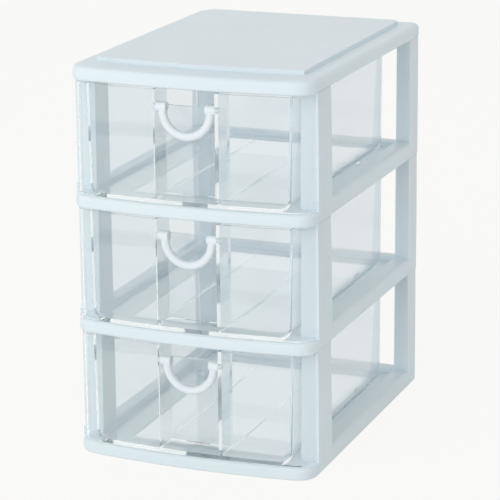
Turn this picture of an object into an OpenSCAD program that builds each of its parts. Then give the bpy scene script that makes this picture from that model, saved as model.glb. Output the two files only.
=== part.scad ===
// Stackable drawer box: three open-sided tier frames under one cap, each with a clear
// drawer and a white swinging pull. Millimetres, +Z up, front towards -Y.
// The origin is at the middle of the footprint, on the surface the box stands on.

/* [Case] */
// Outside width of the frames and the cap
case_width = 176; // [160:2:220]
// Outside depth, from the middle of the bowed front to the back
case_depth = 240; // [220:5:300]
// How far the middle of the front stands ahead of its ends
front_bow = 7; // [4:0.5:12]
// Radius of the two front corners seen from above
front_corner_r = 14; // [9:0.5:16]
// Radius of the two back corners seen from above
rear_corner_r = 6.5; // [6:0.5:9]
// Height of one tier, from the foot of a frame to the foot of the next
tier_pitch = 89; // [75:1:120]

/* [Frame] */
// Height of the front and back rails
end_rail_height = 9.8; // [8:0.2:11]
// Height of the two side rails
side_rail_height = 12.5; // [12:0.5:18]
// Width of the side and back rails
rail_width = 12; // [11.5:0.5:16]
// Depth of the front rail at its middle
front_rail_depth = 21.5; // [20:0.5:26]
// Rounding of the upper outer edge of every rail
rail_top_round = 3.6; // [2:0.2:4.4]
// Rounding of the lower outer edge of every rail
rail_foot_round = 2.2; // [1:0.2:3]
// Wall of the hollow rails and posts
frame_wall = 2.2; // [1.6:0.2:3]
// How far the runner ledge stands in from the rails
ledge_width = 18; // [15:1:24]
// How far the ledge stands in from the back rail
rear_ledge_width = 11; // [8:1:20]
// Thickness of the runner ledge
ledge_thickness = 2.4; // [1.6:0.2:3]
// Height of the underside of the ledge above the foot of the frame
ledge_lift = 3.4; // [3.2:0.1:3.6]

/* [Posts] */
// Width of a post seen from the front
post_width = 13; // [12.5:0.5:16]
// Depth of a front post along the side
front_post_depth = 27; // [22:1:32]
// Depth of a back post along the side
rear_post_depth = 22; // [20:1:28]
// How much shorter a post is on its inner side
post_splay = 5; // [2:0.5:7]
// How far a post leans in over its height
post_draft = 1.2; // [0.4:0.2:1.6]
// Height of the tongue on top of each post
tongue_height = 5.4; // [3:0.2:5.8]
// Play between a tongue and the post it plugs into
tongue_play = 0.25; // [0.1:0.05:0.5]

/* [Cap] */
// Height of the band round the cap
cap_height = 10; // [8.5:0.5:14]
// Thickness of the plate of the cap
cap_plate = 2.2; // [1.6:0.2:2.6]
// Height of the raised platform that the next box stands round
plinth_height = 3; // [2:0.2:3.2]
// Gap between the platform and the rails that fit round it
plinth_play = 0.8; // [0.5:0.1:1.5]
// Radius of the corners of the platform
plinth_corner_r = 5; // [3:0.5:8]

/* [Drawers] */
// Gap between a drawer and the posts at its sides
drawer_side_gap = 0.8; // [0.5:0.1:1.5]
// Running gap under the drawer
drawer_run_gap = 0.3; // [0.3:0.05:0.6]
// Gap between a drawer and what is above it
drawer_top_gap = 1.2; // [0.8:0.1:2]
// Room behind a shut drawer, up to the back of the case
drawer_rear_room = 44; // [30:1:60]
// Thickness of the drawer walls
drawer_wall = 1.8; // [1.2:0.1:2.4]
// Thickness of the drawer floor
drawer_floor = 2; // [1.4:0.1:2.6]
// Rounding where the drawer walls meet the floor
drawer_floor_r = 8; // [4:0.5:10]
// How far each drawer wall leans out over its height
drawer_draft = 1.2; // [0.4:0.2:2]
// Radius of the back corners of a drawer seen from above
drawer_corner_r = 7; // [4:0.5:10]
// Number of ribs along the drawer floor
floor_ribs = 2; // [1:1:5]
// Height of a floor rib
floor_rib_height = 1; // [0.4:0.1:2]
// Thickness of a floor rib
floor_rib_width = 1.2; // [0.8:0.1:2]
// How far the stops under the drawer stand ahead of its back wall
stop_setback = 28; // [12:1:50]
// Length of each stop along the drawer
stop_length = 8; // [5:1:12]
// Width of each stop
stop_width = 3.5; // [2:0.5:5]

/* [Drawer front] */
// How far the front panel lies inside the outline of the case
panel_inset = 1.5; // [1:0.1:2.5]
// Thickness of the front panel
panel_wall = 2.2; // [1.6:0.1:2.8]
// Gap between the panel and the posts behind it
panel_post_gap = 0.5; // [0.3:0.1:1]
// Height of the skirt along the foot of the panel
skirt_height = 6.3; // [4:0.1:9]
// Gap between the outline of the case and the skirt
skirt_inset = 0.3; // [0.2:0.1:0.6]
// Rounding of the upper edge of the skirt
skirt_round = 0.9; // [0.4:0.1:1.2]
// Rounding of the lower edge of the skirt
skirt_foot_round = 0.4; // [0.2:0.1:0.8]
// Clear width of the finger pocket
pocket_width = 43.4; // [38:0.2:60]
// Depth of the finger pocket behind the posts' front faces, towards the back
pocket_back = 0.6; // [0.2:0.1:6]
// Height of the back wall of the pocket, above the foot of the tier
pocket_back_height = 73.5; // [55:0.5:76]

/* [Pull] */
// Diameter of the rod of the pull
pull_rod_d = 5.8; // [4:0.2:6.4]
// Gap at each side between the rod and the pocket wall
pull_side_gap = 1.7; // [1.2:0.1:3]
// Length of the straight legs above the half ring
pull_leg = 2.5; // [1.5:0.5:10]
// Diameter of the pins that the pull hangs from
pull_pin_d = 3.2; // [2.4:0.2:3.6]
// Play round a pin, on the radius
pull_pin_play = 0.3; // [0.2:0.05:0.4]
// Diameter of the boss round each end of the pull
pull_boss_d = 6.6; // [6.6:0.2:8]
// Distance of the pin below the foot of the tier above
pivot_drop = 13; // [8:0.5:16]
// Distance of the pin behind the face of the panel
pivot_setback = 4.2; // [3.8:0.1:6]

/* [Hidden] */

$fn = 72;
// facets of a full circle as large as the bow of the front
bow_fn = 720;
// facets of the small rounds in a rail's profile
profile_fn = 48;
// overlap of the bow past its corners, in degrees, before it is trimmed
spare_turn = 1;
// how far the cutter that rounds a drawer's back corners stands off its leaning walls
corner_spare = 0.6;
// overshoot of a cut past the face it opens
cut = 1;
// overlap of two pieces that join
lap = 1;
// how far a turned corner lies behind the end of the bow that it joins
seam_step = 0.1;
// extra wall of the hollow rails behind their rounded edges
edge_spare = 1;
// room above a tongue in its socket in the cap
socket_spare = 0.6;
// how far the posts' front faces stand ahead of the back of the front rail
post_lead = 0.5;
// distance of the stops from the round of the drawer's floor
stop_margin = 0.5;
// narrowest flat on top of the skirt, between its round and the panel
skirt_flat = 0.3;
// gap between the bosses of a pull and the pocket's walls
boss_gap = 0.3;
// how far the pins of a pull end short of the far side of the pocket's walls
pin_recess = 0.1;

frame_tint = [0.82, 0.90, 0.94];
clear_tint = [0.80, 0.84, 0.84, 0.45];
pull_tint = [0.96, 0.97, 0.98];

half_w = case_width / 2;
y_front = -case_depth / 2;
y_rear = case_depth / 2;
bow_r = (half_w * half_w + front_bow * front_bow) / (2 * front_bow);
bow_y = y_front + bow_r;

// the plates of the rings and the cap start this far in, behind the rounded edges
core_inset = max(rail_top_round, rail_foot_round);
edge_depth = core_inset + lap;
rail_skin = frame_wall + edge_spare;
front_rail_y = y_front + front_rail_depth;
well_half = half_w - rail_width;
well_rear = y_rear - rail_width;
ledge_top = ledge_lift + ledge_thickness;
well_corner_r = 4;
opening_corner_r = 6;

post_inner = half_w - post_width;
post_y = front_rail_y - post_lead;
// where the low front rail gives way to the higher side rails, inside the front posts
rail_step_y = max(post_y, corner_y(half_w, bow_r, front_corner_r) + seam_step) + lap;
post_core_inset = frame_wall + post_draft;

drawer_half = post_inner - drawer_side_gap;
drawer_z = end_rail_height + drawer_run_gap;
drawer_top = tier_pitch - drawer_top_gap;
drawer_rear = y_rear - drawer_rear_room;
panel_end = post_y - panel_post_gap;
skirt_edge_r = min(skirt_round, panel_inset - skirt_inset - skirt_flat);
pocket_half = pocket_width / 2;
pocket_rear = post_y + pocket_back;
stop_y = drawer_rear - stop_setback;
pivot_y = y_front + panel_inset + pivot_setback;
pivot_z = tier_pitch - pivot_drop;
pull_r = pocket_half - pull_side_gap - pull_rod_d / 2;

// a length to the nearest thousandth
function round_off(length) = round(length * 1000) / 1000;
// height of the corner circle's centre on a front outline of half width w and bow radius r
function corner_y(w, r, corner) = bow_y - sqrt((r - corner) * (r - corner) - (w - corner) * (w - corner));
// angle at which that corner leaves the bow
function corner_turn(w, r, corner) = asin((w - corner) / (r - corner));

// Wedge between the radii at which the front corners leave the bow, open to the front.
module bow_wedge(w, r, corner) {
    qx = w - corner;
    qy = corner_y(w, r, corner);
    turn = corner_turn(w, r, corner);
    reach = 3 * front_corner_r + 4 * front_bow;
    polygon([[-qx, qy + lap], [qx, qy + lap], [qx, qy],
             [qx + reach * sin(turn), qy - reach * cos(turn)],
             [-qx - reach * sin(turn), qy - reach * cos(turn)], [-qx, qy]]);
}

// Outline of the case from above, drawn in by `inset`, with true arcs.
module outline(inset = 0) {
    w = half_w - inset;
    r = bow_r - inset;
    front_r = front_corner_r - inset;
    rear_r = rear_corner_r - inset;
    qx = w - front_r;
    qy = corner_y(w, r, front_r);
    back = y_rear - inset;
    intersection() {
        translate([0, bow_y]) circle(r, $fn = bow_fn);
        bow_wedge(w, r, front_r);
    }
    for (side = [-1, 1]) {
        translate([side * qx, qy]) circle(front_r);
        translate([side * (w - rear_r), back - rear_r]) circle(rear_r);
    }
    translate([-w, qy]) square([2 * w, back - rear_r - qy]);
    translate([-w + rear_r, qy]) square([2 * (w - rear_r), back - qy]);
}

// Rectangle from above with its back corners rounded, and its front ones if asked.
module rounded_plan(half, y1, y2, r) {
    for (side = [-1, 1], y = [y1 + r, y2 - r]) translate([side * (half - r), y]) circle(r);
    translate([-half, y1 + r]) square([2 * half, y2 - y1 - 2 * r]);
    translate([-half + r, y1]) square([2 * (half - r), y2 - y1]);
}

// Profile of the outer edge of a rail: x runs inwards from the outline, y runs up.
module edge_profile(height, depth, top_r, foot_r) {
    $fn = profile_fn;
    intersection() {
        square([depth, height]);
        union() {
            translate([top_r, height - top_r]) circle(top_r);
            translate([foot_r, foot_r]) circle(foot_r);
            translate([0, foot_r]) square([depth, height - top_r - foot_r]);
            translate([top_r, foot_r]) square([depth - top_r, height - foot_r]);
            translate([foot_r, 0]) square([depth - foot_r, height - top_r]);
        }
    }
}

// Solid front with rounded outer edges, drawn in by `inset` from the outline of the case:
// the bow, its two corners and the sides back to y_end. The corners are turned rings that
// meet the bow and the sides. What the front belongs to fills or cuts away their middles.
module rounded_front(height, top_r, foot_r, y_end, inset = 0) {
    w = half_w - inset;
    r = bow_r - inset;
    corner = front_corner_r - inset;
    qx = w - corner;
    qy = corner_y(w, r, corner);
    turn = corner_turn(w, r, corner);
    depth = corner + 2 * front_bow;
    ring_y = round_off(qy + seam_step);
    intersection() {
        translate([0, bow_y, 0]) rotate([0, 0, -90 - turn - spare_turn])
            rotate_extrude(angle = 2 * (turn + spare_turn), $fn = bow_fn)
                translate([r, 0]) mirror([1, 0]) edge_profile(height, depth, top_r, foot_r);
        translate([0, 0, -cut]) linear_extrude(height + 2 * cut) bow_wedge(w, r, corner);
    }
    for (side = [0, 1]) mirror([side, 0, 0]) {
        translate([qx, ring_y, 0]) rotate_extrude() translate([corner, 0]) mirror([1, 0])
            edge_profile(height, corner - lap, top_r, foot_r);
        side_sweep(w, ring_y, y_end) edge_profile(height, depth, top_r, foot_r);
    }
}

// Sweeps the 2-D child straight along the right side, at x = w.
module side_sweep(w, y1, y2) {
    translate([0, y2, 0]) rotate([90, 0, 0])
        linear_extrude(y2 - y1) translate([w, 0]) mirror([1, 0]) children();
}

// Sweeps the 2-D child round the back corners and along the back.
module rear_sweep() {
    qx = half_w - rear_corner_r;
    for (side = [0, 1]) mirror([side, 0, 0])
        translate([qx, y_rear - rear_corner_r, 0])
            rotate_extrude(angle = 90) translate([rear_corner_r, 0]) mirror([1, 0]) children();
    translate([-qx, 0, 0]) rotate([90, 0, 90])
        linear_extrude(2 * qx) translate([y_rear, 0]) mirror([1, 0]) children();
}

// Plan of the right front post, drawn in by `inset`.
module front_post_plan(inset = 0) {
    x1 = post_inner + inset;
    x2 = half_w - inset;
    y1 = post_y + inset;
    y2 = post_y + front_post_depth - inset;
    polygon([[x1, y1], [x2, y1], [x2, y2], [x1, y2 - post_splay]]);
}

// Plan of the right back post, drawn in by `inset`.
module rear_post_plan(inset = 0) {
    x1 = post_inner + inset;
    x2 = half_w - inset;
    y1 = y_rear - rear_post_depth + inset;
    y2 = y_rear - inset;
    polygon([[x1, y1 + post_splay], [x2, y1], [x2, y2], [x1, y2]]);
}

// All four post plans.
module post_plans(inset = 0) {
    for (side = [0, 1]) mirror([side, 0]) {
        front_post_plan(inset);
        rear_post_plan(inset);
    }
}

// Space that the leaning outer sides of the posts keep within.
module post_envelope() {
    z1 = end_rail_height;
    z2 = tier_pitch;
    translate([0, y_rear, 0]) rotate([90, 0, 0]) linear_extrude(case_depth)
        polygon([[-half_w, 0], [half_w, 0], [half_w, z1], [half_w - post_draft, z2],
                 [-half_w + post_draft, z2], [-half_w, z1]]);
}

// The same for the front and back faces.
module post_envelope_ends() {
    z1 = end_rail_height;
    z2 = tier_pitch;
    translate([-half_w, 0, 0]) rotate([90, 0, 90]) linear_extrude(case_width)
        polygon([[post_y, 0], [y_rear, 0], [y_rear, z1], [y_rear - post_draft, z2],
                 [post_y + post_draft, z2], [post_y, z1]]);
}

// Solid ring of one tier: a plate with the rounded rails round it.
module ring_solid() {
    linear_extrude(end_rail_height) outline(core_inset);
    rounded_front(end_rail_height, rail_top_round, rail_foot_round, rail_step_y);
    rear_sweep() edge_profile(end_rail_height, edge_depth, rail_top_round, rail_foot_round);
    for (side = [0, 1]) mirror([side, 0, 0])
        side_sweep(half_w, rail_step_y, y_rear - rear_corner_r)
            edge_profile(side_rail_height, rail_width, rail_top_round, rail_foot_round);
}

// Well above the ledge, recess below it and the opening through it.
module ring_openings() {
    translate([0, 0, ledge_top]) linear_extrude(side_rail_height)
        rounded_plan(well_half, front_rail_y, well_rear, well_corner_r);
    translate([0, 0, -cut]) linear_extrude(ledge_lift + cut)
        rounded_plan(well_half, front_rail_y, well_rear, well_corner_r);
    translate([0, 0, -cut]) linear_extrude(side_rail_height)
        rounded_plan(well_half - ledge_width, front_rail_y, well_rear - rear_ledge_width,
                     opening_corner_r);
}

// One tier: a ring of hollow rails with a runner ledge, and four hollow posts with tongues.
module tier_frame() {
    difference() {
        union() {
            difference() {
                ring_solid();
                ring_openings();
            }
            // posts, from the ledge up
            intersection() {
                translate([0, 0, ledge_lift]) linear_extrude(tier_pitch - ledge_lift)
                    intersection() {
                        post_plans();
                        outline();
                    }
                post_envelope();
                post_envelope_ends();
            }
            // tongues
            translate([0, 0, tier_pitch - cut]) linear_extrude(tongue_height + cut)
                post_plans(post_core_inset + tongue_play);
        }
        rail_hollows();
        // hollows of the posts, open below for the tongues of the tier beneath
        translate([0, 0, -cut]) linear_extrude(tier_pitch - frame_wall + cut)
            post_plans(post_core_inset);
    }
}

// Hollows of the four rails, open below.
module rail_hollows() {
    end_top = end_rail_height - frame_wall;
    side_top = side_rail_height - frame_wall;
    side_y1 = post_y + front_post_depth;
    side_y2 = y_rear - rear_post_depth;
    hollow_width = rail_width - frame_wall - rail_skin;
    translate([0, 0, -cut]) linear_extrude(end_top + cut) intersection() {
        outline(rail_skin);
        translate([-half_w, y_front]) square([case_width, front_rail_depth - frame_wall]);
    }
    translate([-post_inner, well_rear + frame_wall, -cut])
        cube([2 * post_inner, hollow_width, end_top + cut]);
    for (side = [0, 1]) mirror([side, 0, 0])
        translate([well_half + frame_wall, side_y1, -cut])
            cube([hollow_width, side_y2 - side_y1, side_top + cut]);
}

// The cap: a bowed plate with a rounded band, a raised platform and four sockets.
module cap() {
    inner = cap_height - cap_plate;
    difference() {
        union() {
            linear_extrude(cap_height) outline(core_inset);
            rounded_front(cap_height, rail_top_round, rail_foot_round, 0);
            for (side = [0, 1]) mirror([side, 0, 0])
                side_sweep(half_w, 0, y_rear - rear_corner_r)
                    edge_profile(cap_height, edge_depth, rail_top_round, rail_foot_round);
            rear_sweep() edge_profile(cap_height, edge_depth, rail_top_round, rail_foot_round);
            linear_extrude(cap_height + plinth_height) plinth_plan(plinth_play);
        }
        // inside of the band and of the platform, but for the blocks over the posts
        difference() {
            union() {
                translate([0, 0, -cut]) linear_extrude(inner + cut) outline(rail_skin);
                linear_extrude(inner + plinth_height) plinth_plan(plinth_play + frame_wall);
            }
            translate([0, 0, -2 * cut]) linear_extrude(cap_height) post_plans();
        }
        translate([0, 0, -cut]) linear_extrude(tongue_height + socket_spare + cut)
            post_plans(post_core_inset);
    }
}

// Plan of the platform: bowed in front like the case, clear of the rails by `play`.
module plinth_plan(play) {
    half = well_half - play;
    back = well_rear - play;
    front_r = bow_r - front_rail_depth - play;
    intersection() {
        translate([0, bow_y]) circle(front_r, $fn = bow_fn);
        rounded_plan(half, bow_y - front_r, back, plinth_corner_r);
    }
}

// Half of a drawer's width, or its reach from the middle, where the wall meets the floor round.
function drawer_foot(reach, rise) = round_off(reach - drawer_draft * (1 - rise / (drawer_top - drawer_z)));

// Section of a drawer between x1 and the leaning wall that reaches `reach` at the top.
// The floor is at floor_z and meets the wall with radius r.
module lean_profile(x1, reach, floor_z, r, top_z) {
    knee = floor_z + r;
    foot = drawer_foot(reach, knee - drawer_z);
    polygon([[x1, knee], [foot, knee], [reach, drawer_top], [reach, top_z], [x1, top_z]]);
    translate([x1, floor_z]) square([foot - r - x1, r]);
    translate([foot - r, knee]) circle(r);
}

// Solid that fills a drawer's box out to the face at `inset` from its outside.
module drawer_block(inset, floor_z, r, front_inset, top_z) {
    corner = drawer_corner_r - inset;
    y1 = y_front - 4 * cut;
    intersection() {
        translate([0, y_rear, 0]) rotate([90, 0, 0]) linear_extrude(y_rear - y1)
            for (side = [0, 1]) mirror([side, 0]) lean_profile(0, drawer_half - inset, floor_z, r, top_z);
        translate([-half_w, 0, 0]) rotate([90, 0, 90]) linear_extrude(case_width)
            lean_profile(y1, drawer_rear - inset, floor_z, r, top_z);
        translate([0, 0, drawer_z - cut]) linear_extrude(tier_pitch) intersection() {
            rounded_plan(drawer_half - inset + corner_spare, y_front - 2 * corner,
                         drawer_rear - inset + corner_spare, corner + corner_spare);
            outline(front_inset);
        }
    }
}

// One drawer: box, bowed front with a skirt, finger pocket, floor ribs and stops.
module drawer() {
    inner_z = drawer_z + drawer_floor;
    pocket_outer = pocket_half + drawer_wall;
    panel_h = drawer_top - drawer_z;
    difference() {
        union() {
            difference() {
                union() {
                    drawer_block(0, drawer_z, drawer_floor_r, panel_inset, drawer_top);
                    // front panel with its returned ends
                    translate([0, 0, drawer_z]) linear_extrude(panel_h) front_strip(panel_inset);
                }
                drawer_block(drawer_wall, inner_z, drawer_floor_r - drawer_wall,
                             panel_inset + panel_wall, tier_pitch);
            }
            // block that the pocket is cut from
            intersection() {
                translate([-pocket_outer, y_front, drawer_z])
                    cube([2 * pocket_outer, pocket_rear + drawer_wall - y_front, panel_h]);
                translate([0, 0, drawer_z]) linear_extrude(panel_h) outline(panel_inset);
            }
            floor_rib_row();
        }
        // pocket, its low back wall and the bores that the pull hangs in
        translate([-pocket_half, y_front - cut, inner_z])
            cube([pocket_width, pocket_rear - y_front + cut, tier_pitch]);
        translate([-pocket_half, y_front - cut, pocket_back_height])
            cube([pocket_width, pocket_rear + 2 * drawer_wall - y_front + cut, tier_pitch]);
        translate([-pocket_outer - cut, pivot_y, pivot_z]) rotate([0, 90, 0])
            cylinder(d = pull_pin_d + 2 * pull_pin_play, h = 2 * pocket_outer + 2 * cut);
    }
    skirt();
    stops();
}

// Plan of the front wall from `inset` inwards, with its ends turned back to the posts.
module front_strip(inset) {
    difference() {
        outline(inset);
        outline(panel_inset + panel_wall);
        translate([-half_w, panel_end]) square([case_width, case_depth]);
    }
}

// Skirt along the foot of the front, over the front rail, with rounded edges.
module skirt() {
    translate([0, 0, drawer_z]) difference() {
        rounded_front(skirt_height, skirt_edge_r, skirt_foot_round, rail_step_y, skirt_inset);
        translate([0, 0, -cut]) linear_extrude(skirt_height + 2 * cut) {
            outline(panel_inset + panel_wall);
            translate([-half_w, panel_end]) square([case_width, case_depth]);
        }
    }
}

// Ribs along the floor that part it into equal lanes.
module floor_rib_row() {
    lane = 2 * (drawer_half - drawer_wall) / (floor_ribs + 1);
    for (i = [1:floor_ribs])
        translate([-drawer_half + drawer_wall + i * lane - floor_rib_width / 2,
                   pocket_rear + drawer_wall / 2, drawer_z + drawer_floor / 2])
            cube([floor_rib_width, drawer_rear - drawer_floor_r - pocket_rear - drawer_wall,
                  drawer_floor / 2 + floor_rib_height]);
}

// Two stops under the floor that slide over the ledges and meet the front rail.
module stops() {
    drop = drawer_z - ledge_top - drawer_run_gap;
    outer = drawer_half - drawer_draft - drawer_floor_r - stop_margin;
    for (side = [0, 1]) mirror([side, 0, 0])
        translate([outer - stop_width, stop_y, drawer_z - drop])
            cube([stop_width, stop_length, drop + drawer_floor / 2]);
}

// One pull: a half ring with straight legs, a boss and a pin at each end.
module pull() {
    boss_x = pocket_half - boss_gap;
    pin_x = pocket_half + drawer_wall - pin_recess;
    translate([0, pivot_y, pivot_z]) {
        translate([0, 0, -pull_leg]) rotate([90, 0, 0]) rotate([0, 0, 180])
            rotate_extrude(angle = 180) translate([pull_r, 0]) circle(d = pull_rod_d);
        for (side = [-1, 1]) {
            translate([side * pull_r, 0, -pull_leg]) cylinder(d = pull_rod_d, h = pull_leg);
            translate([side * (pull_r - pull_rod_d / 2), 0, 0]) rotate([0, side * 90, 0])
                cylinder(d = pull_boss_d, h = boss_x - pull_r + pull_rod_d / 2);
            translate([side * (boss_x - cut), 0, 0]) rotate([0, side * 90, 0])
                cylinder(d = pull_pin_d, h = pin_x - boss_x + cut);
        }
    }
}

// Lifts its children to tier n, counted from 0 at the bottom.
module on_tier(n) {
    translate([0, 0, n * tier_pitch]) children();
}

module frame_lower() color(frame_tint) on_tier(0) tier_frame();
module frame_middle() color(frame_tint) on_tier(1) tier_frame();
module frame_upper() color(frame_tint) on_tier(2) tier_frame();
module top_cap() color(frame_tint) on_tier(3) cap();
module drawer_lower() color(clear_tint) on_tier(0) drawer();
module drawer_middle() color(clear_tint) on_tier(1) drawer();
module drawer_upper() color(clear_tint) on_tier(2) drawer();
module pull_lower() color(pull_tint) on_tier(0) pull();
module pull_middle() color(pull_tint) on_tier(1) pull();
module pull_upper() color(pull_tint) on_tier(2) pull();

frame_lower();
frame_middle();
frame_upper();
top_cap();
drawer_lower();
drawer_middle();
drawer_upper();
pull_lower();
pull_middle();
pull_upper();
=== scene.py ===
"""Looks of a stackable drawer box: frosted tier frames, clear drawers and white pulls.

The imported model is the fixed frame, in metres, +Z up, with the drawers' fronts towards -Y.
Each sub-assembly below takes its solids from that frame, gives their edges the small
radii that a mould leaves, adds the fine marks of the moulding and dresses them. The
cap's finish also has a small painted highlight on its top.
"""

import logging
import math
from dataclasses import dataclass
from enum import Enum
from typing import ClassVar

import bmesh
import bpy
from mathutils import Matrix, Vector


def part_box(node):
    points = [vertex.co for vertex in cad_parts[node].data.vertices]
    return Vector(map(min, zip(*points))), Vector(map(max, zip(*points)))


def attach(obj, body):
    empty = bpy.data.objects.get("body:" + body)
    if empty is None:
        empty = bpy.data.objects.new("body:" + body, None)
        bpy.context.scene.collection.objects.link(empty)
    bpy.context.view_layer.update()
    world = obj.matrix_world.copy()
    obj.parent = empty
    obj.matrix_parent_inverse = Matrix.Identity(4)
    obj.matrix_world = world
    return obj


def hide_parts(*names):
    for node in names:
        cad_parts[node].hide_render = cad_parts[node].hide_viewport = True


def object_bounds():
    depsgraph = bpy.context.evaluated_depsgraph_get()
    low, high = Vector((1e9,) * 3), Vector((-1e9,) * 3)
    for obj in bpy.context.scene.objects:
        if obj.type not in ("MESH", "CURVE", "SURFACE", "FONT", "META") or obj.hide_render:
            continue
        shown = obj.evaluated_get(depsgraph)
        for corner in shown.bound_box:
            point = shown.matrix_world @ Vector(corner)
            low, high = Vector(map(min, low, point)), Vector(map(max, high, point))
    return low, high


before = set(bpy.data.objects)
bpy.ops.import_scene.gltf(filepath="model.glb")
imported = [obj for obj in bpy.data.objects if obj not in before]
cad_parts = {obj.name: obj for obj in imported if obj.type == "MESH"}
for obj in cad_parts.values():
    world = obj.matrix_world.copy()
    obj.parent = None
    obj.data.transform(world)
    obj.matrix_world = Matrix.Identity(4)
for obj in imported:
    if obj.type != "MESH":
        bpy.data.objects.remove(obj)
CAD_LOW, CAD_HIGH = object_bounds()

Color = tuple[float, float, float]
Place = tuple[float, float, float]

log = logging.getLogger("drawer_box")


class Tier(Enum):
    """The three tiers, counted from the bottom."""

    LOWER = 0
    MIDDLE = 1
    UPPER = 2

    @property
    def word(self) -> str:
        """The tier's word in the names of nodes and bodies."""
        return self.name.lower()


class Ray(Enum):
    """The kinds of ray that the Light Path node tells apart."""

    CAMERA = "Is Camera Ray"
    SHADOW = "Is Shadow Ray"
    DIFFUSE = "Is Diffuse Ray"
    GLOSSY = "Is Glossy Ray"
    REFLECTION = "Is Reflection Ray"
    TRANSMISSION = "Is Transmission Ray"


# ---------------------------------------------------------------- shared effects


@dataclass(frozen=True)
class NodeTree:
    """A thin hand on a node tree: adds nodes, sets their sockets and links them.

    Attributes:
        tree: The node tree that is written to.
    """

    tree: bpy.types.NodeTree

    def add(self, kind: str, **settings: object) -> bpy.types.Node:
        """Adds a node.

        Args:
            kind: The node's type, such as "ShaderNodeMix".
            **settings: Properties of the node that are set by name.

        Returns:
            The new node.
        """
        node = self.tree.nodes.new(kind)
        for name, value in settings.items():
            setattr(node, name, value)
        return node

    def link(self, source: bpy.types.NodeSocket, target: bpy.types.NodeSocket) -> None:
        """Joins an output to an input."""
        self.tree.links.new(source, target)

    def math(self, operation: str, a: object, b: object) -> bpy.types.NodeSocket:
        """Adds a Math node.

        Args:
            operation: The node's operation, such as "MULTIPLY".
            a: The first value, as a number or an output socket.
            b: The second value, as a number or an output socket.

        Returns:
            The node's output.
        """
        node = self.add("ShaderNodeMath", operation=operation)
        for place, value in enumerate((a, b)):
            if isinstance(value, bpy.types.NodeSocket):
                self.link(value, node.inputs[place])
            else:
                node.inputs[place].default_value = value
        return node.outputs[0]

    def noise(
        self, vector: bpy.types.NodeSocket, scale: object, detail: float
    ) -> bpy.types.NodeSocket:
        """Adds a Noise Texture.

        Args:
            vector: The coordinates it is laid out on.
            scale: Its scale, as a number or an output socket.
            detail: How many finer octaves it has.

        Returns:
            The noise's factor output.
        """
        node = self.add("ShaderNodeTexNoise")
        self.link(vector, node.inputs["Vector"])
        if isinstance(scale, bpy.types.NodeSocket):
            self.link(scale, node.inputs["Scale"])
        else:
            node.inputs["Scale"].default_value = scale
        node.inputs["Detail"].default_value = detail
        return node.outputs["Fac"]


@dataclass(frozen=True)
class MouldedPlastic:
    """Shader node group for injection-moulded plastic.

    It puts out a slow drift of tone, where the melt is a little thicker or thinner, a fine
    skin relief, a gloss drift and a faint mask of handling marks.

    Attributes:
        name: The group's name.
        gloss_scale: How much finer than the drift of tone the drift of gloss is.
        mark_floor: Level of the noise above which a mark shows.
        mark_gain: How quickly a mark grows above that level.
    """

    name: str = "moulded_plastic"
    gloss_scale: float = 2.7
    mark_floor: float = 0.58
    mark_gain: float = 6.0

    def build(self) -> bpy.types.NodeTree:
        """Builds the group once.

        Returns:
            The shader node group.
        """
        group = bpy.data.node_groups.new(self.name, "ShaderNodeTree")
        for label in ("Tone Scale", "Skin Scale", "Mark Scale"):
            group.interface.new_socket(label, in_out="INPUT", socket_type="NodeSocketFloat")
        for label in ("Tone", "Skin", "Gloss", "Marks"):
            group.interface.new_socket(label, in_out="OUTPUT", socket_type="NodeSocketFloat")
        net = NodeTree(group)
        given = net.add("NodeGroupInput")
        result = net.add("NodeGroupOutput")
        place = net.add("ShaderNodeTexCoord").outputs["Object"]
        tone = net.noise(place, given.outputs["Tone Scale"], detail=2.0)
        skin = net.noise(place, given.outputs["Skin Scale"], detail=3.0)
        finer = net.math("MULTIPLY", given.outputs["Tone Scale"], self.gloss_scale)
        gloss = net.noise(place, finer, detail=1.0)
        marks = net.noise(place, given.outputs["Mark Scale"], detail=6.0)
        above = net.math("SUBTRACT", marks, self.mark_floor)
        worn = net.math("MULTIPLY", above, self.mark_gain)
        for source, label in ((tone, "Tone"), (skin, "Skin"), (gloss, "Gloss")):
            net.link(source, result.inputs[label])
        clamp = net.add("ShaderNodeClamp")
        net.link(worn, clamp.inputs["Value"])
        net.link(clamp.outputs[0], result.inputs["Marks"])
        return group

    def place(self, net: NodeTree, tone: float, skin: float, marks: float) -> bpy.types.Node:
        """Places the group in a material.

        Args:
            net: The material's node tree.
            tone: Scale of the drift of tone.
            skin: Scale of the fine relief.
            marks: Scale of the handling marks.

        Returns:
            The group node.
        """
        shared = bpy.data.node_groups.get(self.name) or self.build()
        node = net.add("ShaderNodeGroup", node_tree=shared)
        node.inputs["Tone Scale"].default_value = tone
        node.inputs["Skin Scale"].default_value = skin
        node.inputs["Mark Scale"].default_value = marks
        return node


# ---------------------------------------------------------------- finishes


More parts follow.
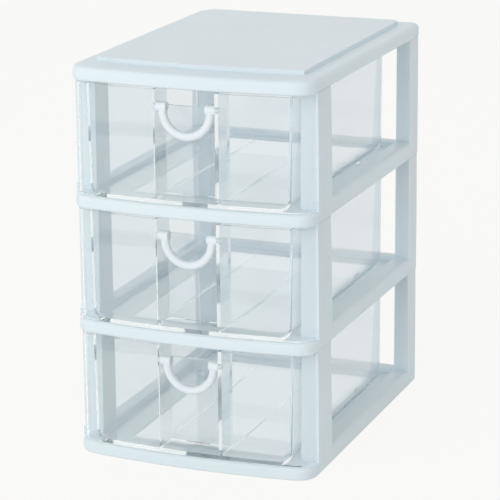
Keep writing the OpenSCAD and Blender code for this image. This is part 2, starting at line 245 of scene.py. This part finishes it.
@dataclass(frozen=True)
class Finish:
    """What every plastic finish has in common.

    Attributes:
        name: The material's name.
        light: Base colour where the drift of tone is light.
        deep: Base colour where it is deep.
        roughness: Lowest and highest roughness, without marks.
        wear: How much a handling mark adds to the roughness, as a share of its spread.
        bend: How much the plastic bends the light.
        relief: Height of the skin's relief in metres.
        tone_scale: Scale of the drift of tone.
        skin_scale: Scale of the skin's relief.
        mark_scale: Scale of the handling marks.
    """

    name: str
    light: Color
    deep: Color
    roughness: tuple[float, float]
    wear: float = 0.5
    bend: float = 1.49
    relief: float = 0.00002
    tone_scale: float = 9.0
    skin_scale: float = 900.0
    mark_scale: float = 60.0

    def material(self) -> bpy.types.Material:
        """Makes the material once.

        Returns:
            The finish's material.
        """
        known = bpy.data.materials.get(self.name)
        if known:
            return known
        made = bpy.data.materials.new(self.name)
        made.use_nodes = True
        made.node_tree.nodes.clear()
        net = NodeTree(made.node_tree)
        shader = net.add("ShaderNodeBsdfPrincipled")
        output = net.add("ShaderNodeOutputMaterial")
        self.surface(net, shader)
        self.shade(shader)
        net.link(self.result(net, shader), output.inputs["Surface"])
        return made

    def result(self, net: NodeTree, shader: bpy.types.Node) -> bpy.types.NodeSocket:
        """Gives the output that the surface shows, which is the shader's own."""
        return shader.outputs[0]

    def surface(self, net: NodeTree, shader: bpy.types.Node) -> None:
        """Feeds the drift of tone, the gloss and the skin's relief to the shader.

        Args:
            net: The material's node tree.
            shader: Its Principled BSDF.
        """
        skin = MouldedPlastic().place(net, self.tone_scale, self.skin_scale, self.mark_scale)
        net.link(self.colour(net, skin.outputs["Tone"]), shader.inputs["Base Color"])
        low, high = self.roughness
        spread = net.math("MULTIPLY", skin.outputs["Gloss"], high - low)
        worn = net.math("MULTIPLY", skin.outputs["Marks"], self.wear * (high - low))
        net.link(net.math("ADD", net.math("ADD", spread, worn), low), shader.inputs["Roughness"])
        bump = net.add("ShaderNodeBump")
        bump.inputs["Distance"].default_value = self.relief
        bump.inputs["Strength"].default_value = 1.0
        net.link(skin.outputs["Skin"], bump.inputs["Height"])
        net.link(bump.outputs["Normal"], shader.inputs["Normal"])

    def colour(self, net: NodeTree, tone: bpy.types.NodeSocket) -> bpy.types.NodeSocket:
        """Turns the drift of tone into a colour.

        Args:
            net: The material's node tree.
            tone: The drift of tone, from 0 to 1.

        Returns:
            The surface's colour.
        """
        mix = net.add("ShaderNodeMix", data_type="RGBA")
        mix.inputs["A"].default_value = (*self.deep, 1.0)
        mix.inputs["B"].default_value = (*self.light, 1.0)
        net.link(tone, mix.inputs["Factor"])
        return mix.outputs["Result"]

    def shade(self, shader: bpy.types.Node) -> None:
        """Sets what is the same all over the surface."""
        shader.inputs["IOR"].default_value = self.bend


@dataclass(frozen=True)
class Frosted(Finish):
    """Milky plastic that lets light soak in a little.

    Attributes:
        soak: How much of the light soaks in.
        reach: How far it spreads, in metres.
        tint: Share of each colour that spreads so far.
    """

    soak: float = 0.45
    reach: float = 0.004
    tint: Color = (0.75, 0.9, 1.0)

    def shade(self, shader: bpy.types.Node) -> None:
        """Adds the light that soaks into milky plastic."""
        super().shade(shader)
        shader.inputs["Subsurface Weight"].default_value = self.soak
        shader.inputs["Subsurface Radius"].default_value = self.tint
        shader.inputs["Subsurface Scale"].default_value = self.reach


@dataclass(frozen=True)
class GlintPainted(Frosted):
    """Milky plastic with a small pale spot painted on it, a painted highlight standing for a
    glint.

    Attributes:
        glint_centre: Where the painted highlight sits.
        glint_radius: Radius of the painted highlight in metres.
        pale: Colour of the painted highlight.
    """

    glint_centre: Place = (0.0, 0.0, 0.0)
    glint_radius: float = 0.0016
    pale: Color = (0.97, 0.99, 1.0)

    def colour(self, net: NodeTree, tone: bpy.types.NodeSocket) -> bpy.types.NodeSocket:
        """Lays the painted highlight, a small pale spot, over the drift of tone.

        Args:
            net: The material's node tree.
            tone: The drift of tone, from 0 to 1.

        Returns:
            The surface's colour.
        """
        # Painted highlight: a small pale disc of colour standing for a glint on the cap's top.
        away = net.add("ShaderNodeVectorMath", operation="DISTANCE")
        net.link(net.add("ShaderNodeTexCoord").outputs["Object"], away.inputs[0])
        away.inputs[1].default_value = self.glint_centre
        near = net.math("LESS_THAN", away.outputs["Value"], self.glint_radius)
        mix = net.add("ShaderNodeMix", data_type="RGBA")
        net.link(near, mix.inputs["Factor"])
        net.link(super().colour(net, tone), mix.inputs["A"])
        mix.inputs["B"].default_value = (*self.pale, 1.0)
        return mix.outputs["Result"]


@dataclass(frozen=True)
class Clear(Finish):
    """See-through plastic with a slight smoky tint.

    Attributes:
        bend: How much the walls bend the light. It is low because they are thin.
        passing: Colour of the soft light that one face of a wall lets through.
        gloss: Strength of the polished skin.
        haze: Share of the light that the milky melt scatters.
        skin_bend: How much the polished skin bends the light.
        skin_roughness: Roughness of the polished skin.
    """

    bend: float = 1.09
    passing: Color = (0.975, 0.985, 0.985)
    gloss: float = 0.8
    haze: float = 0.1
    skin_bend: float = 1.5
    skin_roughness: float = 0.03

    def result(self, net: NodeTree, shader: bpy.types.Node) -> bpy.types.NodeSocket:
        """Lets soft light and reflected light pass straight through the thin walls.

        Args:
            net: The material's node tree.
            shader: Its Principled BSDF.

        Returns:
            The output that the surface shows.
        """
        through = net.add("ShaderNodeBsdfTransparent")
        through.inputs["Color"].default_value = (*self.passing, 1.0)
        path = net.add("ShaderNodeLightPath")
        shown = shader.outputs[0]
        for ray in (Ray.SHADOW, Ray.DIFFUSE, Ray.REFLECTION):
            mix = net.add("ShaderNodeMixShader")
            net.link(path.outputs[ray.value], mix.inputs["Fac"])
            net.link(shown, mix.inputs[1])
            net.link(through.outputs[0], mix.inputs[2])
            shown = mix.outputs[0]
        return shown

    def shade(self, shader: bpy.types.Node) -> None:
        """Makes the plastic see-through."""
        super().shade(shader)
        shader.inputs["Metallic"].default_value = 0.0
        shader.inputs["Transmission Weight"].default_value = 1.0 - self.haze
        shader.inputs["Coat Weight"].default_value = self.gloss
        shader.inputs["Coat IOR"].default_value = self.skin_bend
        shader.inputs["Coat Roughness"].default_value = self.skin_roughness


FROSTED = Frosted(
    name="frosted_plastic",
    light=(0.83, 0.91, 0.95),
    deep=(0.77, 0.87, 0.91),
    roughness=(0.28, 0.42),
)
CLEAR = Clear(
    name="clear_plastic",
    light=(0.91, 0.945, 0.96),
    deep=(0.88, 0.92, 0.94),
    roughness=(0.01, 0.04),
    relief=0.000001,
    skin_scale=140.0,
)
WHITE = Finish(
    name="white_plastic",
    light=(0.87, 0.92, 0.95),
    deep=(0.82, 0.88, 0.91),
    roughness=(0.22, 0.34),
)


# ---------------------------------------------------------------- pieces


@dataclass(frozen=True)
class SoftEdges:
    """Gives a copy of a moulding the small radii that its mould leaves on every edge.

    Attributes:
        radius: Radius of the edges in metres.
        segments: Facets across each radius.
        sharp: Edges that turn more than this many degrees are rounded.
        crease: Edges that still turn more than this many degrees afterwards stay crisp.
        weld: Points closer than this, in metres, are joined.
        flat: Faces that meet at less than this many degrees are joined.
        evenness: How strongly large faces lead the shading, from 1 to 100.
    """

    radius: float = 0.0004
    segments: int = 2
    sharp: float = 32.0
    crease: float = 50.0
    weld: float = 1e-6
    flat: float = 0.6
    evenness: int = 90

    def copy(self, node: str, name: str) -> bpy.types.Object:
        """Makes a rounded copy of a node of the frame.

        Args:
            node: Name of the node.
            name: Name of the copy.

        Returns:
            The copy, in the node's place.
        """
        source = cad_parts[node]
        mesh = bpy.data.meshes.new(name)
        self.clean(source.data, mesh)
        made = bpy.data.objects.new(name, mesh)
        bpy.context.scene.collection.objects.link(made)
        bevel = made.modifiers.new("edges", "BEVEL")
        bevel.width = self.radius
        bevel.segments = self.segments
        bevel.limit_method = "ANGLE"
        bevel.angle_limit = math.radians(self.sharp)
        bevel.use_clamp_overlap = True
        bevel.miter_outer = "MITER_SHARP"
        self.apply(made)
        for edge in made.data.edges:
            edge.use_edge_sharp = False
        made.data.set_sharp_from_angle(angle=math.radians(self.crease))
        even = made.modifiers.new("even", "WEIGHTED_NORMAL")
        even.mode = "FACE_AREA"
        even.weight = self.evenness
        even.keep_sharp = True
        self.apply(made)
        return made

    def clean(self, source: bpy.types.Mesh, target: bpy.types.Mesh) -> None:
        """Joins a mesh's doubled points and its flat triangles.

        Args:
            source: The mesh that is read.
            target: The mesh that is filled.
        """
        work = bmesh.new()
        work.from_mesh(source)
        bmesh.ops.remove_doubles(work, verts=work.verts, dist=self.weld)
        bmesh.ops.dissolve_limit(
            work, angle_limit=math.radians(self.flat), verts=work.verts, edges=work.edges
        )
        for layer in list(work.loops.layers.float_vector.values()):
            work.loops.layers.float_vector.remove(layer)
        for face in work.faces:
            face.smooth = True
            face.material_index = 0
        work.to_mesh(target)
        work.free()
        stale = [a.name for a in target.attributes if "normal" in a.name and not a.is_required]
        for label in stale:
            target.attributes.remove(target.attributes[label])

    def apply(self, made: bpy.types.Object) -> None:
        """Applies the object's modifiers to its mesh."""
        graph = bpy.context.evaluated_depsgraph_get()
        done = bpy.data.meshes.new_from_object(
            made.evaluated_get(graph), preserve_all_data_layers=True, depsgraph=graph
        )
        made.modifiers.clear()
        made.data = done


@dataclass(frozen=True)
class Moulding:
    """What every moulding of the box has in common.

    Attributes:
        tier: The tier that it belongs to.
        edges: The radii that its mould leaves.
    """

    tier: Tier
    edges: SoftEdges = SoftEdges()

    kind: ClassVar[str] = "frame"
    finish: ClassVar[Finish] = FROSTED

    @property
    def node(self) -> str:
        """Its node in the frame."""
        return f"{self.kind}_{self.tier.word}"

    @property
    def body(self) -> str:
        """The body that it moves with."""
        return self.node

    @property
    def slot(self) -> str:
        """Gives its kind."""
        return self.kind

    def dressed(self) -> Finish:
        """Gives the finish that it wears."""
        return self.finish

    def build(self) -> bpy.types.Object:
        """Builds its mesh.

        Returns:
            The object that stands for its node.
        """
        shell = self.edges.copy(self.node, f"{self.node}_shell")
        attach(shell, self.body)
        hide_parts(self.node)
        return shell

    def dress(self) -> None:
        """Builds it and gives it its finish."""
        shell = self.build()
        finish = self.dressed()
        shell.data.materials.clear()
        shell.data.materials.append(finish.material())
        log.info("%s: %d faces, %s", self.node, len(shell.data.polygons), finish.name)


@dataclass(frozen=True)
class TierFrame(Moulding):
    """One tier's ring of rails and its four posts."""

    @property
    def body(self) -> str:
        """The stacked frames are one body."""
        return "cabinet"


@dataclass(frozen=True)
class TopCap(Moulding):
    """The bowed cover on the upper tier, with its raised platform.

    Attributes:
        glint_back: How far the painted highlight lies behind the middle, as a share of the
            depth.
    """

    tier: Tier = Tier.UPPER
    glint_back: float = 0.15

    @property
    def node(self) -> str:
        """Its node in the frame."""
        return "top_cap"

    @property
    def body(self) -> str:
        """It sits on the stacked frames."""
        return "cabinet"

    def dressed(self) -> Finish:
        """Adds the painted highlight, a small pale spot on the cap's top, to the frames' finish.
        """
        low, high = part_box(self.node)
        across = (low[0] + high[0]) / 2
        back = (low[1] + high[1]) / 2 + self.glint_back * (high[1] - low[1])
        # The painted highlight sits on the cap's top, a little behind its middle.
        glint_centre = (across, back, high[2])
        return GlintPainted(
            name=f"{FROSTED.name}_cap",
            light=FROSTED.light,
            deep=FROSTED.deep,
            roughness=FROSTED.roughness,
            glint_centre=glint_centre,
        )


@dataclass(frozen=True)
class Drawer(Moulding):
    """One clear drawer, with its wrap-round front, finger pocket and floor ribs."""

    edges: SoftEdges = SoftEdges(radius=0.0007, segments=3)

    kind: ClassVar[str] = "drawer"
    finish: ClassVar[Finish] = CLEAR


@dataclass(frozen=True)
class Pull(Moulding):
    """One white pull: a half ring between its two pins."""

    kind: ClassVar[str] = "pull"
    finish: ClassVar[Finish] = WHITE


# ---------------------------------------------------------------- stage


@dataclass(frozen=True)
class Stage:
    """Plain pale floor.

    Attributes:
        half: Half of the floor's side in metres.
        tone: Its colour.
        glow: Share of its brightness that doesn't depend on the lamps, where it is seen.
        drop: How far it lies under the object's foot, in metres.
    """

    half: float = 6.0
    tone: Color = (0.98, 0.975, 0.96)
    glow: float = 0.9
    drop: float = 0.0002

    def build(self) -> None:
        """Lays the floor."""
        mesh = bpy.data.meshes.new("floor")
        h = self.half
        mesh.from_pydata([(-h, -h, 0), (h, -h, 0), (h, h, 0), (-h, h, 0)], [], [(0, 1, 2, 3)])
        floor = bpy.data.objects.new("floor", mesh)
        floor.location.z = -self.drop
        bpy.context.scene.collection.objects.link(floor)
        mesh.materials.append(self.material())
        log.info("floor: %.1f m across", 2 * h)

    def material(self) -> bpy.types.Material:
        """Makes the floor's material, which stays pale for the camera and keeps the shadow.

        Returns:
            The new material.
        """
        made = bpy.data.materials.new("floor_paper")
        made.use_nodes = True
        made.node_tree.nodes.clear()
        net = NodeTree(made.node_tree)
        output = net.add("ShaderNodeOutputMaterial")
        paper = net.add("ShaderNodeBsdfDiffuse")
        paper.inputs["Color"].default_value = (*self.tone, 1.0)
        glow = net.add("ShaderNodeEmission")
        glow.inputs["Color"].default_value = (*self.tone, 1.0)
        seen = seen_directly(net)
        mix = net.add("ShaderNodeMixShader")
        net.link(net.math("MULTIPLY", seen, self.glow), mix.inputs["Fac"])
        net.link(paper.outputs[0], mix.inputs[1])
        net.link(glow.outputs[0], mix.inputs[2])
        net.link(mix.outputs[0], output.inputs["Surface"])
        return made


def seen_directly(net: NodeTree) -> bpy.types.NodeSocket:
    """Adds a mask of the rays that show the background: the camera's, and those that a
    gloss or a see-through wall sends on.

    Args:
        net: The node tree.

    Returns:
        The mask's output, 0 or 1.
    """
    path = net.add("ShaderNodeLightPath")
    seen = path.outputs[Ray.CAMERA.value]
    for ray in (Ray.GLOSSY, Ray.TRANSMISSION):
        seen = net.math("MAXIMUM", seen, path.outputs[ray.value])
    return seen


@dataclass(frozen=True)
class Lamp:
    """One soft box. It lights surfaces but isn't seen, in a gloss or through a clear wall
    either, because it is brighter than the white backdrop.

    Attributes:
        name: Its name.
        place: Where it hangs, in metres.
        side: The side of its square in metres.
        power: Its power in watts.
    """

    name: str
    place: Place
    side: float
    power: float

    def build(self, aim: Vector) -> None:
        """Hangs the lamp.

        Args:
            aim: The point that it faces.
        """
        data = bpy.data.lights.new(self.name, "AREA")
        data.shape = "SQUARE"
        data.size = self.side
        data.energy = self.power
        lamp = bpy.data.objects.new(self.name, data)
        lamp.visible_camera = False
        lamp.visible_glossy = False
        lamp.visible_transmission = False
        lamp.location = self.place
        lamp.rotation_mode = "QUATERNION"
        lamp.rotation_quaternion = (aim - Vector(self.place)).to_track_quat("-Z", "Y")
        bpy.context.scene.collection.objects.link(lamp)
        log.info("%s: %.0f W", self.name, self.power)


@dataclass(frozen=True)
class Studio:
    """Soft light from all round, with one large soft box in front of the object.

    Attributes:
        key: The soft box.
        ambient: Colour of the light from all round.
        level: Its strength.
        backdrop: Colour of the background.
    """

    key: Lamp = Lamp("key_light", (-0.5, -2.2, 0.9), side=2.0, power=20.0)
    ambient: Color = (0.95, 0.975, 1.0)
    level: float = 0.64
    backdrop: Color = (0.98, 0.975, 0.96)

    def build(self) -> None:
        """Hangs the soft box and sets the world."""
        self.key.build((CAD_LOW + CAD_HIGH) / 2)
        world = bpy.data.worlds.new("studio")
        bpy.context.scene.world = world
        world.use_nodes = True
        world.node_tree.nodes.clear()
        net = NodeTree(world.node_tree)
        output = net.add("ShaderNodeOutputWorld")
        soft = net.add("ShaderNodeBackground")
        soft.inputs["Color"].default_value = (*self.ambient, 1.0)
        soft.inputs["Strength"].default_value = self.level
        shown = net.add("ShaderNodeBackground")
        shown.inputs["Color"].default_value = (*self.backdrop, 1.0)
        mix = net.add("ShaderNodeMixShader")
        net.link(seen_directly(net), mix.inputs["Fac"])
        net.link(soft.outputs[0], mix.inputs[1])
        net.link(shown.outputs[0], mix.inputs[2])
        net.link(mix.outputs[0], output.inputs["Surface"])


@dataclass(frozen=True)
class PhotoCamera:
    """The photograph's viewpoint: in front, to the right and a little above.

    Attributes:
        place: Where the camera stands, in metres.
        turn: Its turn to the left of +Y, in degrees.
        dip: How far it looks down, in degrees.
        roll: Its roll, in degrees.
        lens: Focal length in millimetres.
        sensor: Width of the sensor in millimetres.
        reach: Nearest and farthest distance that it sees, in metres.
    """

    place: Place = (0.5935, -1.4818, 0.5770)
    turn: float = 21.87
    dip: float = 15.78
    roll: float = -0.51
    lens: float = 165.4
    sensor: float = 36.0
    reach: tuple[float, float] = (0.05, 50.0)

    def build(self) -> None:
        """Sets up the camera."""
        data = bpy.data.cameras.new("photo_camera")
        data.sensor_fit = "HORIZONTAL"
        data.sensor_width = self.sensor
        data.lens = self.lens
        data.clip_start, data.clip_end = self.reach
        camera = bpy.data.objects.new("photo_camera", data)
        turned = Matrix.Rotation(math.radians(self.turn), 4, "Z")
        dipped = Matrix.Rotation(math.radians(90 - self.dip), 4, "X")
        rolled = Matrix.Rotation(math.radians(self.roll), 4, "Z")
        camera.matrix_world = Matrix.Translation(self.place) @ turned @ dipped @ rolled
        bpy.context.scene.collection.objects.link(camera)
        bpy.context.scene.camera = camera
        log.info("camera: %.1f mm", self.lens)


def main() -> None:
    """Builds the stage, the light, the camera and every piece of the box."""
    logging.basicConfig(level=logging.INFO, format="%(name)s: %(message)s")
    bpy.context.scene.view_settings.view_transform = "Standard"
    PhotoCamera().build()
    Studio().build()
    Stage().build()
    for tier in Tier:
        TierFrame(tier).dress()
        Drawer(tier).dress()
        Pull(tier).dress()
    TopCap().dress()


if __name__ == "__main__":
    main()
